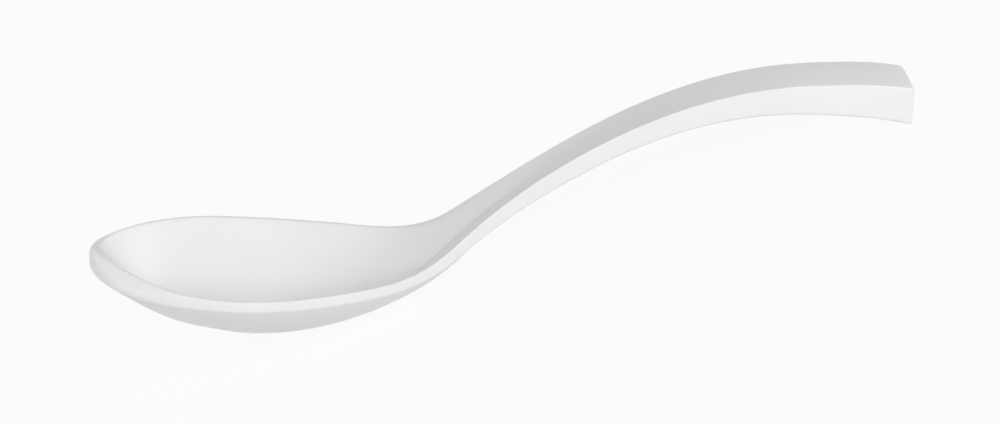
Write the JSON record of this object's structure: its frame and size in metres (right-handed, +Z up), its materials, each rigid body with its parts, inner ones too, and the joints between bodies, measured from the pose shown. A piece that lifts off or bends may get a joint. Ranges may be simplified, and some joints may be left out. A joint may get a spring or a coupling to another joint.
{
  "type": "salad spoon",
  "caption": "Serving spoon moulded in one piece, with a deep oval bowl and an arched handle that thickens towards a square-cut end.",
  "frame": {"origin": "on the table plane, under the middle of the spoon's bounding box", "axes": "+X from the bowl's nose towards the handle end, +Y across the spoon, +Z up from the table, with the spoon lying as it comes to rest"},
  "size_m": [0.2826, 0.071, 0.0543],
  "materials": {
    "white_melamine": "smooth moulded white, softly glossy"
  },
  "bodies": {
    "root": {"spoon": "white_melamine"}
  },
  "joints": []
}
